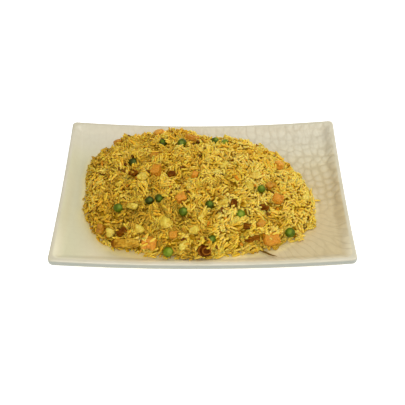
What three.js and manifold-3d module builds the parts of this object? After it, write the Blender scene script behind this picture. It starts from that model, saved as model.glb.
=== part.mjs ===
// A plate of fried rice: a rectangular stoneware dish, a heap of rice, and the peas, carrot,
// egg and browned meat that lie in its surface. Millimetres, +Z up. The origin is on the
// table under the middle of the dish, +X runs along its long side and -Y is its front.

import * as THREE from 'three';
import Module from 'manifold-3d';
import { mergeVertices } from 'three/addons/utils/BufferGeometryUtils.js';
import { ConvexGeometry } from 'three/addons/geometries/ConvexGeometry.js';

// ---- driving dimensions: the dish -------------------------------------------------------
const DISH_LENGTH = 260;      // along X
const DISH_DEPTH = 184;       // along Y
const DISH_CORNER = 4.5;      // corner radius of the outer edge
const WELL_FLOOR = 9;         // top of the well in the middle of the dish
const END_RISE = 6.4;         // how far the floor climbs to the two short ends
const SIDE_RISE = 4.5;        // how far it climbs to the two long sides
const LIP_HEIGHT = 4.5;       // the steeper band just inside the edge
const LIP_WIDTH = 9;
const RIM_THICKNESS = 6.4;    // edge of the dish, from above to below
const RIM_ROUND = 1.5;        // rounding of the two edges of the rim
const WALL = 5;               // thickness of the floor
const FOOT_INSET = 27;        // from the outer edge to the outside of the foot ring
const FOOT_WIDTH = 6;
const SIDE_STEPS = 8;         // facets along a straight side of the dish
const CORNER_STEPS = 3;       // facets round a corner

// ---- driving dimensions: the heap of rice -----------------------------------------------
// How far the heap reaches from the middle of the dish, every 22.5 degrees from +X.
const HEAP_REACH = [99, 87, 81, 73, 69, 89, 99, 114, 109, 110, 105, 87, 83, 83, 97, 105];
// A hollow and a swelling behind the middle: x, y, height, and how far it spreads.
const HEAP_HILLS = [[12, 46, -3.1, 18], [48, 36, 1.2, 22]];
const HEAP_HEIGHT = 35;       // above the well, in the middle
const HEAP_EDGE = 2;          // thickness of the outermost grains
const HEAP_SHOULDER = 2.4;    // larger values make the top flatter
const HEAP_STEEPNESS = 0.62;  // smaller values make the sides steeper
const HEAP_RINGS = 26;
const GRAIN_LENGTH = 7.5;
const GRAIN_WIDTH = 3.6;      // a bump is a grain with its shoulders
const GRAIN_RELIEF = 2.6;
const GRAIN_BUMPS = 1600;
const GRAIN_STRAY = 0.9;      // how far a point of the surface strays from its ring
// Rings of the heap's underside: part of the way out, and how many points, or as the edge.
const UNDERSIDE = [{ part: 1 }, { part: 0.85, count: 24 }, { part: 0.6, count: 18 },
  { part: 0.3, count: 12 }];
const GAP = 0.35;             // clear space between any two pieces that touch

// ---- driving dimensions: the pieces in the rice -----------------------------------------
// A pea: x, y of its middle, its size, and how far its middle stands over the rice.
const PEAS = [
  [-37, 39, 8.2, 0.3], [-19, 36.5, 8.4, 0.9], [12, 51, 8.2, -0.4], [21.5, 43.5, 8.2, -0.2],
  [-63.5, 13.3, 8, -0.6], [52, -24.5, 7.2, 0.8], [-46, -37.5, 7.8, 0], [-37.2, -36.4, 7.6, 0.4],
  [-73.3, -41.4, 8.4, 0.8], [-16.4, -50, 8.2, 0.6], [6.4, -42.5, 7.8, -0.6], [33, -51.5, 8.2, 0.6],
  [75.6, -60.4, 9.2, 1.2], [-29.1, -79.5, 9, 1.4], [8.3, -72, 7, 0],
];
// A cut piece: x, y, its length, width and height, how far its middle stands over the rice,
// and the turn of its length from +X in degrees.
const CARROTS = [
  [-41, 58.9, 9, 7, 7, 0.6, 20], [-81.5, 55, 8, 7, 6, 0.2, 50], [-10, 50, 15, 5, 5, 0.4, -8],
  [-43.3, 17.2, 9, 7, 6, 0, 12], [-41.5, -2.6, 11, 8, 8, 0.9, 75], [-18.5, -37, 9, 7, 7, 1, 30],
  [66.1, -33.5, 9, 8, 7, 1, -20], [60, -19, 7, 6, 5, 0.4, 40], [59, -68.5, 13, 10, 9, 1.2, 15],
  [-45.3, -74.6, 12.5, 10, 9, 1.3, -12], [70.5, 14.4, 8, 7, 6, 0.5, 35], [-6.4, -9.3, 7, 5, 5, 0.4, 60],
  [-24.5, -69, 7, 6, 5, 0.3, 10], [50.5, -58.5, 7, 6, 5, 0.4, 50], [-88, -56.2, 9, 6, 6, 0.6, 65],
];
const EGGS = [
  [-53.2, -8.4, 12, 9, 7, 0.3, 25], [-31, -60, 12, 9, 7, 0.4, -15], [-79, -62.5, 10, 8, 6, 0.6, 40],
  [17, -41.5, 10.5, 8, 7, 0.4, 10], [-15.4, -76.5, 9, 8, 6, 0.8, 0], [1, -53, 13, 6, 5, 0.2, 55],
  [-7, -66.2, 10, 8, 6, 0.4, 20], [91.6, -21.6, 9, 7, 6, 0.8, 70], [45.3, -7, 13, 9, 7, 0, -20],
  [19.6, 4.5, 11, 9, 6, 0, 15], [41.5, -22.2, 11, 8, 6, 0.2, 80], [93.5, -46, 8, 6, 5, 1.2, 60],
  [-55.5, -64.5, 10, 8, 6, 0.4, 15], [-60.9, -41.7, 10, 7, 6, 0.2, -30],
];
const MEATS = [
  [-65.5, -73.2, 25, 7, 6, 1.2, -3], [1.5, -80.3, 11, 8, 6, 1.4, 5], [-69, -64, 8, 5, 5, 0.4, 15],
  [27.5, -42.5, 9, 4.5, 4, 0.6, 70], [53.4, -43, 8, 4.5, 4, 0.4, 20], [-62.5, -2, 8, 5, 4, 0.2, -35],
  [-26.9, -8.5, 7, 4.5, 4, 0.3, 15], [43, -69.5, 13, 4.5, 4, 0.8, 10], [39, -61, 7, 4.5, 4, 0.4, 0],
];
const LOOSE_SLIVER = { x: 56.2, y: -76.8, length: 17.5, width: 2.8, height: 2.4, turn: -32 };
const LOOSE_GRAIN = { x: 104.4, y: -12.7, length: 6.8, width: 2.2, height: 2, turn: -5 };
const LUMP_ROUGHNESS = 0.12;  // how uneven a fluffy piece is, against its size
const LUMP_POCKET = 1.3;      // size of a twenty-sided pocket around such a piece
const CHAMFER = 0.2;          // cut corners of a diced piece, against its half size

// ---- shared helpers ---------------------------------------------------------------------
const wasm = await Module();
wasm.setup();

// A repeatable stream of numbers from 0 to 1.
function seededRandom(seed) {
  let state = seed;
  return () => {
    state = (state * 1664525 + 1013904223) % 4294967296;
    return state / 4294967296;
  };
}

// Only positions, with shared corners joined, as a closed solid needs them.
function closedShape(geometry) {
  const bare = geometry.clone();
  bare.deleteAttribute('normal');
  bare.deleteAttribute('uv');
  return mergeVertices(bare, 1e-4);
}

function toSolid(geometry) {
  const closed = closedShape(geometry);
  const vertProperties = new Float32Array(closed.attributes.position.array);
  const triVerts = new Uint32Array(closed.index.array);
  return new wasm.Manifold(new wasm.Mesh({ numProp: 3, vertProperties, triVerts }));
}

function fromSolid(solid) {
  const mesh = solid.getMesh();
  const geometry = new THREE.BufferGeometry();
  geometry.setAttribute('position', new THREE.BufferAttribute(mesh.vertProperties, 3));
  geometry.setIndex(new THREE.BufferAttribute(mesh.triVerts, 1));
  return geometry;
}

// A skin over rings of points, closed at both ends by a single point.
function skinOverRings(firstPoint, rings, lastPoint) {
  const count = rings[0].length;
  const points = [firstPoint, ...rings.flat(), lastPoint];
  const faces = [];
  for (let i = 0; i < count; i++) {
    faces.push(0, 1 + i, 1 + ((i + 1) % count));
  }
  for (let k = 0; k + 1 < rings.length; k++) {
    const near = 1 + k * count;
    const far = near + count;
    for (let i = 0; i < count; i++) {
      const next = (i + 1) % count;
      faces.push(near + i, far + i, far + next);
      faces.push(near + i, far + next, near + next);
    }
  }
  const last = points.length - 1;
  const start = last - count;
  for (let i = 0; i < count; i++) {
    faces.push(start + i, last, start + ((i + 1) % count));
  }
  return geometryOf(points, faces);
}

function geometryOf(points, faces) {
  const geometry = new THREE.BufferGeometry();
  geometry.setFromPoints(points);
  geometry.setIndex(faces);
  return geometry;
}

// ---- the dish ---------------------------------------------------------------------------
const HALF_LENGTH = DISH_LENGTH / 2;
const HALF_DEPTH = DISH_DEPTH / 2;

// The floor is a shallow trough that climbs to all four sides.
function floorHeight(x, y) {
  const alongX = END_RISE * (x / HALF_LENGTH) ** 2;
  const alongY = SIDE_RISE * (y / HALF_DEPTH) ** 2;
  return WELL_FLOOR + alongX + alongY;
}

// The lip is a steeper band that ends at the rim.
function dishTop(x, y) {
  const inset = Math.min(HALF_LENGTH - Math.abs(x), HALF_DEPTH - Math.abs(y));
  const climb = THREE.MathUtils.smoothstep(LIP_WIDTH - inset, 0, LIP_WIDTH);
  return floorHeight(x, y) + LIP_HEIGHT * climb;
}

// A rounded rectangle, `inset` inside the edge of the dish.
function dishOutline(inset) {
  const w = HALF_LENGTH - inset;
  const d = HALF_DEPTH - inset;
  const r = Math.min(DISH_CORNER + 0.45 * inset, 0.6 * d);
  const corners = [[w - r, d - r, 0], [r - w, d - r, 1], [r - w, r - d, 2], [w - r, r - d, 3]];
  const outline = [];
  corners.forEach(([cx, cy, quarter], n) => {
    for (let i = 0; i <= CORNER_STEPS; i++) {
      const angle = (quarter + i / CORNER_STEPS) * Math.PI / 2;
      outline.push(new THREE.Vector2(cx + r * Math.cos(angle), cy + r * Math.sin(angle)));
    }
    const from = outline[outline.length - 1];
    const [nextX, nextY, nextQuarter] = corners[(n + 1) % 4];
    const start = nextQuarter * Math.PI / 2;
    const to = new THREE.Vector2(nextX + r * Math.cos(start), nextY + r * Math.sin(start));
    for (let i = 1; i < SIDE_STEPS; i++) {
      outline.push(from.clone().lerp(to, i / SIDE_STEPS));
    }
  });
  return outline;
}

// One ring of the dish: every point of the outline at the height that `heightAt` gives it.
function dishRing(inset, heightAt) {
  return dishOutline(inset).map((p) => new THREE.Vector3(p.x, p.y, heightAt(p.x, p.y)));
}

function plateShape() {
  const footTop = (x, y) => floorHeight(x, y) - WALL;
  const table = () => 0;
  const rimTop = (x, y) => floorHeight(x, y) + LIP_HEIGHT;
  const rimBelow = (x, y) => rimTop(x, y) - RIM_THICKNESS;
  const under = (x, y) => Math.min(dishTop(x, y) - WALL, rimBelow(x, y));
  const footIn = FOOT_INSET + FOOT_WIDTH;
  const rings = [
    dishRing(HALF_DEPTH * 0.62, footTop),
    dishRing(footIn, footTop),
    dishRing(footIn - 0.8, table),
    dishRing(FOOT_INSET + 0.8, table),
    dishRing(FOOT_INSET, footTop),
    dishRing(LIP_WIDTH + 2, under),
    dishRing(LIP_WIDTH * 0.45, under),
    dishRing(RIM_ROUND, rimBelow),
    dishRing(RIM_ROUND * 0.3, (x, y) => rimBelow(x, y) + RIM_ROUND * 0.3),
    dishRing(0, (x, y) => rimBelow(x, y) + RIM_ROUND),
    dishRing(0, (x, y) => rimTop(x, y) - RIM_ROUND),
    dishRing(RIM_ROUND * 0.3, (x, y) => rimTop(x, y) - RIM_ROUND * 0.3),
    dishRing(RIM_ROUND, rimTop),
    dishRing(LIP_WIDTH * 0.33, dishTop),
    dishRing(LIP_WIDTH * 0.66, dishTop),
    dishRing(LIP_WIDTH, dishTop),
    dishRing(LIP_WIDTH + 12, dishTop),
    dishRing(HALF_DEPTH * 0.5, dishTop),
    dishRing(HALF_DEPTH * 0.8, dishTop),
  ];
  const bottom = new THREE.Vector3(0, 0, WELL_FLOOR - WALL);
  const top = new THREE.Vector3(0, 0, WELL_FLOOR);
  return skinOverRings(bottom, rings.map((ring) => ring.reverse()), top);
}

// ---- the rice ---------------------------------------------------------------------------
// How far the heap reaches in one direction: a smooth curve through HEAP_REACH.
function heapReach(angle) {
  const count = HEAP_REACH.length;
  const place = ((angle / (2 * Math.PI)) * count + count) % count;
  const i = Math.floor(place);
  const t = place - i;
  const [a, b, c, d] = [-1, 0, 1, 2].map((k) => HEAP_REACH[(i + k + count) % count]);
  const bend = 2 * a - 5 * b + 4 * c - d + (3 * b - a - 3 * c + d) * t;
  return b + 0.5 * t * (c - a + t * bend);
}

// Height of the rice over the well, without its grains. `part` is 0 in the middle, 1 at the edge.
function heapSwell(x, y, part) {
  const dome = (1 - part ** HEAP_SHOULDER) ** HEAP_STEEPNESS;
  const hills = HEAP_HILLS.reduce((sum, [hillX, hillY, height, spread]) => {
    const away = ((x - hillX) ** 2 + (y - hillY) ** 2) / spread ** 2;
    return sum + height * Math.exp(-away);
  }, 0);
  return HEAP_EDGE + (HEAP_HEIGHT - HEAP_EDGE) * dome + hills * (1 - part ** 4);
}

// Top of the rice at a point of the dish.
function riceHeight(x, y) {
  const part = Math.min(Math.hypot(x, y) / heapReach(Math.atan2(y, x)), 1);
  return dishTop(x, y) + GAP + heapSwell(x, y, part);
}

function grainBumps() {
  const random = seededRandom(11);
  return Array.from({ length: GRAIN_BUMPS }, () => ({
    x: (random() - 0.5) * 2.2 * HEAP_REACH[8],
    y: (random() - 0.5) * 2.2 * HEAP_REACH[12],
    turn: random() * Math.PI,
    relief: GRAIN_RELIEF * (0.6 + 0.6 * random()),
  }));
}

// The tallest grain that crosses a point, as a rounded bump.
function bumpHeight(bumps, x, y) {
  let tallest = 0;
  for (const bump of bumps) {
    const dx = x - bump.x;
    const dy = y - bump.y;
    const u = (dx * Math.cos(bump.turn) + dy * Math.sin(bump.turn)) / (GRAIN_LENGTH / 2);
    const v = (dy * Math.cos(bump.turn) - dx * Math.sin(bump.turn)) / (GRAIN_WIDTH / 2);
    if (u * u + v * v < 1) {
      tallest = Math.max(tallest, bump.relief * Math.sqrt(1 - u * u - v * v));
    }
  }
  return tallest;
}

// Rings of points over the heap, each ring with six points more than the one inside it.
function ricePoints(bumps) {
  const random = seededRandom(5);
  const points = [new THREE.Vector3(0, 0, riceHeight(0, 0) + bumpHeight(bumps, 0, 0))];
  for (let ring = 1; ring <= HEAP_RINGS; ring++) {
    const count = 6 * ring;
    for (let i = 0; i < count; i++) {
      const angle = (2 * Math.PI * i) / count;
      const far = heapReach(angle) * ring / HEAP_RINGS;
      const x = far * Math.cos(angle) + GRAIN_STRAY * (2 * random() - 1);
      const y = far * Math.sin(angle) + GRAIN_STRAY * (2 * random() - 1);
      points.push(new THREE.Vector3(x, y, riceHeight(x, y) + bumpHeight(bumps, x, y)));
    }
  }
  return points;
}

// Triangles between two neighbouring rings of 6 n and 6 (n + 1) points.
function stitchRings(faces, innerStart, innerCount, outerStart, outerCount) {
  let inner = 0;
  let outer = 0;
  while (inner < innerCount || outer < outerCount) {
    const a = innerStart + (inner % innerCount);
    const b = outerStart + (outer % outerCount);
    const outerIsNext = (outer + 1) * innerCount <= (inner + 1) * outerCount;
    if (outer < outerCount && (outerIsNext || inner >= innerCount)) {
      faces.push(a, b, outerStart + ((outer + 1) % outerCount));
      outer++;
    } else {
      faces.push(a, b, innerStart + ((inner + 1) % innerCount));
      inner++;
    }
  }
}

// The bumpy top, from its middle point out. Gives where its last ring starts.
function coverTop(faces) {
  for (let i = 0; i < 6; i++) {
    faces.push(0, 1 + i, 1 + ((i + 1) % 6));
  }
  let inner = 1;
  for (let ring = 1; ring < HEAP_RINGS; ring++) {
    const outer = inner + 6 * ring;
    stitchRings(faces, inner, 6 * ring, outer, 6 * (ring + 1));
    inner = outer;
  }
  return inner;
}

// The low side under the last ring, and an underside that follows the dish to its middle.
function coverUnderside(points, faces, edge) {
  const edgeCount = 6 * HEAP_RINGS;
  let outer = { start: edge, count: edgeCount };
  for (const { part, count } of UNDERSIDE) {
    const inner = { start: points.length, count: count ?? edgeCount };
    for (let i = 0; i < inner.count; i++) {
      const source = points[edge + Math.round((i * edgeCount) / inner.count) % edgeCount];
      const x = source.x * part;
      const y = source.y * part;
      points.push(new THREE.Vector3(x, y, dishTop(x, y) + GAP));
    }
    const seam = [];
    stitchRings(seam, inner.start, inner.count, outer.start, outer.count);
    for (let i = 0; i < seam.length; i += 3) {
      faces.push(seam[i], seam[i + 2], seam[i + 1]);
    }
    outer = inner;
  }
  points.push(new THREE.Vector3(0, 0, dishTop(0, 0) + GAP));
  for (let i = 0; i < outer.count; i++) {
    faces.push(points.length - 1, outer.start + ((i + 1) % outer.count), outer.start + i);
  }
}

function riceShape() {
  const points = ricePoints(grainBumps());
  const faces = [];
  coverUnderside(points, faces, coverTop(faces));
  return geometryOf(points, faces);
}

// ---- the pieces in the rice -------------------------------------------------------------
// Each maker takes `grow`: 0 for the piece itself, or the clearance of its pocket in the
// rice, which is a plainer shape that the piece fits in.
function peaShape(piece, grow) {
  const radius = piece.length / 2;
  return grow ? new THREE.SphereGeometry(1.12 * radius + grow, 7, 5)
    : new THREE.SphereGeometry(radius, 10, 6);
}

// A block with its edges and corners cut off.
function blockShape(piece, grow) {
  const x = piece.length / 2 + grow;
  const y = piece.width / 2 + grow;
  const z = piece.height / 2 + grow;
  if (grow) {
    return new THREE.BoxGeometry(2 * x, 2 * y, 2 * z);
  }
  const cut = Math.min(x, y, z) * CHAMFER;
  const corners = [];
  for (const sx of [-1, 1]) {
    for (const sy of [-1, 1]) {
      for (const sz of [-1, 1]) {
        corners.push(new THREE.Vector3(sx * x, sy * (y - cut), sz * (z - cut)));
        corners.push(new THREE.Vector3(sx * (x - cut), sy * y, sz * (z - cut)));
        corners.push(new THREE.Vector3(sx * (x - cut), sy * (y - cut), sz * z));
      }
    }
  }
  return new ConvexGeometry(corners);
}

// An uneven lump: a ball of few sides, pushed in and out, then squashed to its size.
function lumpShape(piece, grow) {
  if (grow) {
    const hollow = new THREE.IcosahedronGeometry(LUMP_POCKET, 0);
    return hollow.scale(piece.length / 2 + grow, piece.width / 2 + grow, piece.height / 2 + grow);
  }
  const random = seededRandom(Math.round(4000 + 7 * piece.x + 13 * piece.y));
  const ball = closedShape(new THREE.IcosahedronGeometry(1, 1));
  const position = ball.attributes.position;
  const point = new THREE.Vector3();
  for (let i = 0; i < position.count; i++) {
    point.fromBufferAttribute(position, i);
    point.multiplyScalar(1 + LUMP_ROUGHNESS * (2 * random() - 1));
    position.setXYZ(i, point.x, point.y, point.z);
  }
  return ball.scale(piece.length / 2, piece.width / 2, piece.height / 2);
}

// Where a piece lies: tipped with the rice under it, and clear of the dish.
function seatOnRice(piece, shape) {
  const { x, y } = piece;
  const reach = 6;
  const slopeX = (riceHeight(x + reach, y) - riceHeight(x - reach, y)) / (2 * reach);
  const slopeY = (riceHeight(x, y + reach) - riceHeight(x, y - reach)) / (2 * reach);
  const up = new THREE.Vector3(-slopeX, -slopeY, 1).normalize();
  const tip = new THREE.Quaternion().setFromUnitVectors(new THREE.Vector3(0, 0, 1), up);
  const seat = new THREE.Matrix4().makeRotationFromQuaternion(tip);
  seat.multiply(new THREE.Matrix4().makeRotationZ(THREE.MathUtils.degToRad(piece.turn)));
  const laid = shape.clone().applyMatrix4(seat);
  laid.computeBoundingBox();
  const lowest = dishTop(x, y) + 4 * GAP - laid.boundingBox.min.z;
  return seat.setPosition(x, y, Math.max(riceHeight(x, y) + piece.lift, lowest));
}

// A slim piece with round ends that lies on the dish itself.
function slimShape(piece, grow) {
  const bar = new THREE.SphereGeometry(0.5, 8, 6);
  bar.rotateZ(Math.PI / 2);
  return bar.scale(piece.length + 2 * grow, piece.width + 2 * grow, piece.height + 2 * grow);
}

function seatOnDish(piece) {
  const turn = THREE.MathUtils.degToRad(piece.turn);
  const endX = 0.4 * piece.length * Math.cos(turn);
  const endY = 0.4 * piece.length * Math.sin(turn);
  const near = dishTop(piece.x - endX, piece.y - endY);
  const far = dishTop(piece.x + endX, piece.y + endY);
  const seat = new THREE.Matrix4().makeRotationZ(turn);
  seat.multiply(new THREE.Matrix4().makeRotationY(-Math.atan2(far - near, 0.8 * piece.length)));
  const height = (near + far + piece.height) / 2 + 2 * GAP;
  return seat.setPosition(piece.x, piece.y, height);
}

// ---- materials --------------------------------------------------------------------------
const MATERIALS = {
  glaze: { color: 0xd3c7a6, roughness: 0.3 },
  rice: { color: 0xb89234, roughness: 0.6 },
  pea: { color: 0x7f9a2b, roughness: 0.45 },
  carrot: { color: 0xd9822b, roughness: 0.45 },
  egg: { color: 0xe6cb74, roughness: 0.6 },
  meat: { color: 0x8a5a2b, roughness: 0.6 },
};

// ---- assembly ---------------------------------------------------------------------------
const plateOfRice = new THREE.Group();
const pockets = [];

function addNode(name, geometry, look) {
  const material = new THREE.MeshStandardMaterial({ ...MATERIALS[look], metalness: 0 });
  const mesh = new THREE.Mesh(geometry, material);
  mesh.name = name;
  plateOfRice.add(mesh);
}

// Adds a piece, and keeps the pocket that it needs in the rice.
function addPiece(name, piece, makeShape, findSeat, look) {
  const shape = makeShape(piece, 0);
  const seat = findSeat(piece, shape);
  addNode(name, closedShape(shape.applyMatrix4(seat)), look);
  pockets.push(toSolid(makeShape(piece, GAP).applyMatrix4(seat)));
}

function addPieces(name, rows, makeShape, look) {
  rows.forEach(([x, y, length, width, height, lift, turn], n) => {
    const piece = { x, y, length, width, height, lift, turn };
    addPiece(`${name}_${n + 1}`, piece, makeShape, seatOnRice, look);
  });
}

const roundRows = PEAS.map(([x, y, size, lift]) => [x, y, size, size, size, lift, 0]);

addNode('plate', plateShape(), 'glaze');
addPieces('pea', roundRows, peaShape, 'pea');
addPieces('carrot', CARROTS, blockShape, 'carrot');
addPieces('egg', EGGS, lumpShape, 'egg');
addPieces('meat', MEATS, blockShape, 'meat');
addPiece('loose_sliver', LOOSE_SLIVER, slimShape, seatOnDish, 'meat');
addPiece('loose_grain', LOOSE_GRAIN, slimShape, seatOnDish, 'rice');

const rice = pockets.reduce((heap, pocket) => heap.subtract(pocket), toSolid(riceShape()));
addNode('rice_heap', fromSolid(rice), 'rice');

export default plateOfRice;
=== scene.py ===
# %% [markdown]
# # A plate of fried rice
# The packed solids are the frame of this lesson: they say how long the dish is, how far the
# heap reaches, and where every pea and piece of carrot lies. This script dresses them. It
# makes a glazed dish, lets some thousands of rice grains settle on the heap one by one, and
# gives peas, carrot, egg and meat their own shapes and finishes.

# %% Set up
import math

import bmesh
import bpy
import numpy as np
from mathutils import Matrix, Vector, noise
from mathutils.bvhtree import BVHTree


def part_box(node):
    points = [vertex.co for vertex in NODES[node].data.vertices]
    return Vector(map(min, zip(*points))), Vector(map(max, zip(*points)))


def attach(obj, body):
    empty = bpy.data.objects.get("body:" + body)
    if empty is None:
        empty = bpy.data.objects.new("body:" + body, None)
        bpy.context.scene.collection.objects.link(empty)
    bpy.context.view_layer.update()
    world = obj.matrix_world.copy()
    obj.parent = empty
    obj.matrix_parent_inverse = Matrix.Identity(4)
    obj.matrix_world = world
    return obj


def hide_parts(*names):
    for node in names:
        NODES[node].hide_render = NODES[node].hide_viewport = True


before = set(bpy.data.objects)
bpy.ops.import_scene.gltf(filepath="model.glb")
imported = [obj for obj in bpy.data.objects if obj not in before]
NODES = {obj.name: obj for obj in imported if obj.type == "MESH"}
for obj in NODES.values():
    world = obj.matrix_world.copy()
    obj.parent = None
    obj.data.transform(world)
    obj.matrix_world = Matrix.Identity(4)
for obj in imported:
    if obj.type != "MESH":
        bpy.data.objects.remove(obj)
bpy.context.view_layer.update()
MM = 0.001
PIECES = {kind: sorted((n for n in NODES if n.startswith(kind + "_")),
                       key=lambda n: int(n.split("_")[1]))
          for kind in ("pea", "carrot", "egg", "meat")}
print("frame:", {kind: len(names) for kind, names in PIECES.items()})

# %% [markdown]
# ## Shader maths as plain expressions
# A material is a net of nodes. Writing every Math node by hand hides the idea, so `Value`
# wraps a socket and lets Python's own operators add the nodes. Anything else comes from
# `Look.node`, which takes a node's type, its settings and what goes into its sockets.
# Colours are written as in a picture editor, 0 to 255 per channel. A shader works with
# linear light, so `srgb` turns them into that on the way in.

# %% The Value helper
def srgb(red, green, blue):
    """The linear values of a colour that is given as 0 to 255 per channel."""
    def linear(c):
        c = c / 255.0
        return c / 12.92 if c <= 0.04045 else ((c + 0.055) / 1.055) ** 2.4
    return tuple(linear(c) for c in (red, green, blue))


class Value:
    """The output of a node, which can stand in an expression."""

    def __init__(self, look, socket):
        self.look = look
        self.socket = socket

    def maths(self, operation, *values):
        return self.look.node("ShaderNodeMath", {"operation": operation}, *values)

    def __add__(self, other):
        return self.maths("ADD", self, other)

    def __sub__(self, other):
        return self.maths("SUBTRACT", self, other)

    def __rsub__(self, other):
        return self.maths("SUBTRACT", other, self)

    def __mul__(self, other):
        return self.maths("MULTIPLY", self, other)

    def __pow__(self, other):
        return self.maths("POWER", self, other)

    def between(self, start, end):
        """0 up to `start`, 1 from `end` on, smooth in between; `end` may be the lower one."""
        return self.look.node("ShaderNodeMapRange", {"interpolation_type": "SMOOTHSTEP"},
                              self, start, end, 0.0, 1.0)

    __radd__ = __add__
    __rmul__ = __mul__


print("a colour of 128 is", round(srgb(128, 128, 128)[0], 3), "in linear light")

# %% The Look helper
class Look:
    """A material: one Principled shader and the nodes that feed it."""

    def __init__(self, name, **constants):
        self.material = bpy.data.materials.new(name)
        self.material.use_nodes = True
        self.tree = self.material.node_tree
        self.shader = self.tree.nodes["Principled BSDF"]
        self.feed(**constants)

    def plug(self, socket, value):
        if isinstance(value, Value):
            self.tree.links.new(value.socket, socket)
        elif isinstance(value, tuple) and len(value) == 3 and socket.type == "RGBA":
            socket.default_value = (*value, 1.0)
        elif value is not None:
            socket.default_value = value

    def plug_named(self, sockets, named):
        for key, value in named.items():
            self.plug(sockets[key.replace("_", " ")], value)

    def node(self, kind, settings=None, *values, out=0, **named):
        """Adds a node; a value that is None leaves its socket as it is."""
        made = self.tree.nodes.new(kind)
        for key, setting in (settings or {}).items():
            if key == "stops":
                self.set_stops(made.color_ramp, setting)
            else:
                setattr(made, key, setting)
        for socket, value in zip(made.inputs, values):
            self.plug(socket, value)
        self.plug_named(made.inputs, named)
        return Value(self, made.outputs[out])

    def set_stops(self, ramp, stops):
        while len(ramp.elements) < len(stops):
            ramp.elements.new(1.0)
        for element, (place, *colour) in zip(ramp.elements, stops):
            element.position = place
            element.color = (*srgb(*colour), 1.0)

    def feed(self, **inputs):
        self.plug_named(self.shader.inputs, inputs)

    def place(self):
        return self.node("ShaderNodeTexCoord", out="Object")

    def noise(self, scale, detail=3.0, out=0):
        return self.node("ShaderNodeTexNoise", None, out=out, Vector=self.place(), Scale=scale,
                         Detail=detail)

    def vector(self, operation, *values, **named):
        return self.node("ShaderNodeVectorMath", {"operation": operation}, *values, **named)

    def mix(self, factor, a, b):
        """Colour a where the factor is 0, colour b where it is 1."""
        a, b = (srgb(*colour) if isinstance(colour, tuple) else colour for colour in (a, b))
        for_other_data = [None] * 5
        return self.node("ShaderNodeMix", {"data_type": "RGBA"}, factor, *for_other_data, a, b,
                         out=2)

    def ramp(self, factor, *stops):
        """A colour ramp: each stop is its place, then its red, green and blue."""
        return self.node("ShaderNodeValToRGB", {"stops": stops}, factor)

    def attribute(self, name):
        return self.node("ShaderNodeAttribute", {"attribute_name": name}, out="Fac")

    def bump(self, height, distance):
        return self.node("ShaderNodeBump", None, Height=height, Distance=distance, Strength=1.0)

    def dress(self, colour, rough, grainy):
        """Feeds the colour, a noise as roughness and a noise as bump.

        `rough` holds the noise's scale, how much it counts and the least roughness, and
        `grainy` the scale, detail and depth of the bump.
        """
        scale, share, least = rough
        bump_scale, detail, depth = grainy
        self.feed(Base_Color=colour, Roughness=self.noise(scale) * share + least,
                  Normal=self.bump(self.noise(bump_scale, detail), depth))
        return self


print("a look can", [name for name in vars(Look) if not name.startswith("_")])

# %% [markdown]
# ## The camera and the light
# The dish is seen from its front, 45 degrees above the table, from a little over 70 cm
# away. The light is soft: a bright room, with one large window-like lamp high on the right,
# and one from the viewer's side that leaves hardly any shadow at the foot of the heap.

# %% Camera
VIEW_ELEVATION = math.radians(45.0)
VIEW_AZIMUTH = math.radians(-0.6)
VIEW_ROLL = math.radians(-0.68)
VIEW_DISTANCE = 708.5 * MM
VIEW_TARGET = Vector((0.0, -14.7, 15.0)) * MM
PICTURE_SIDE = 405
FOCAL_PIXELS = 776.7
SENSOR = 36.0


def put_in_scene(name, data):
    """An object for this mesh, lamp or camera."""
    thing = bpy.data.objects.new(name, data)
    bpy.context.scene.collection.objects.link(thing)
    return thing


camera = put_in_scene("camera", bpy.data.cameras.new("camera"))
bpy.context.scene.camera = camera
camera.data.sensor_fit = "HORIZONTAL"
camera.data.sensor_width = SENSOR
camera.data.lens = SENSOR * FOCAL_PIXELS / PICTURE_SIDE
camera.data.clip_start = 0.01
turn = Matrix.Rotation(-VIEW_AZIMUTH, 3, "Z")
turn @= Matrix.Rotation(math.pi / 2 - VIEW_ELEVATION, 3, "X")
camera.location = VIEW_TARGET + turn @ Vector((0.0, 0.0, VIEW_DISTANCE))
camera.rotation_euler = (turn @ Matrix.Rotation(VIEW_ROLL, 3, "Z")).to_euler()
print("camera at", [round(c, 3) for c in camera.location], "lens", round(camera.data.lens, 1))

# %% Floor and lamps
FLOOR_SIZE = 3.0
BELOW_DISH = 0.2 * MM
ROOM_LIGHT = 0.42


def as_mesh(bm, name):
    """Turns a finished bmesh into a mesh."""
    mesh = bpy.data.meshes.new(name)
    bm.to_mesh(mesh)
    bm.free()
    return mesh


def make_floor():
    bm = bmesh.new()
    bmesh.ops.create_grid(bm, x_segments=1, y_segments=1, size=FLOOR_SIZE)
    floor = put_in_scene("floor", as_mesh(bm, "floor"))
    floor.location.z = -BELOW_DISH
    look = Look("floor_white", Base_Color=(0.93, 0.93, 0.93), Emission_Color=(1.0, 1.0, 1.0),
                Emission_Strength=0.6)
    look.feed(Roughness=look.noise(8.0) * 0.05 + 0.85)
    floor.data.materials.append(look.material)


def add_lamp(name, place, size, watts):
    lamp = put_in_scene(name, bpy.data.lights.new(name, "AREA"))
    lamp.data.shape = "DISK"
    lamp.data.size = size
    lamp.data.energy = watts
    lamp.location = place
    lamp.rotation_euler = (-lamp.location).to_track_quat("-Z", "Y").to_euler()
    print("lamp", name, "of", watts, "W")


def light_room(strength):
    world = bpy.data.worlds.new("room")
    world.use_nodes = True
    background = world.node_tree.nodes["Background"].inputs
    background["Color"].default_value = (1.0, 1.0, 1.0, 1.0)
    background["Strength"].default_value = strength
    bpy.context.scene.world = world


make_floor()
light_room(ROOM_LIGHT)
add_lamp("window", (0.64, 0.1, 0.87), 1.1, 5.4)
add_lamp("front_fill", (-0.1, -0.68, 0.8), 0.5, 4.3)
bpy.context.scene.view_settings.view_transform = "Standard"

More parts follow.
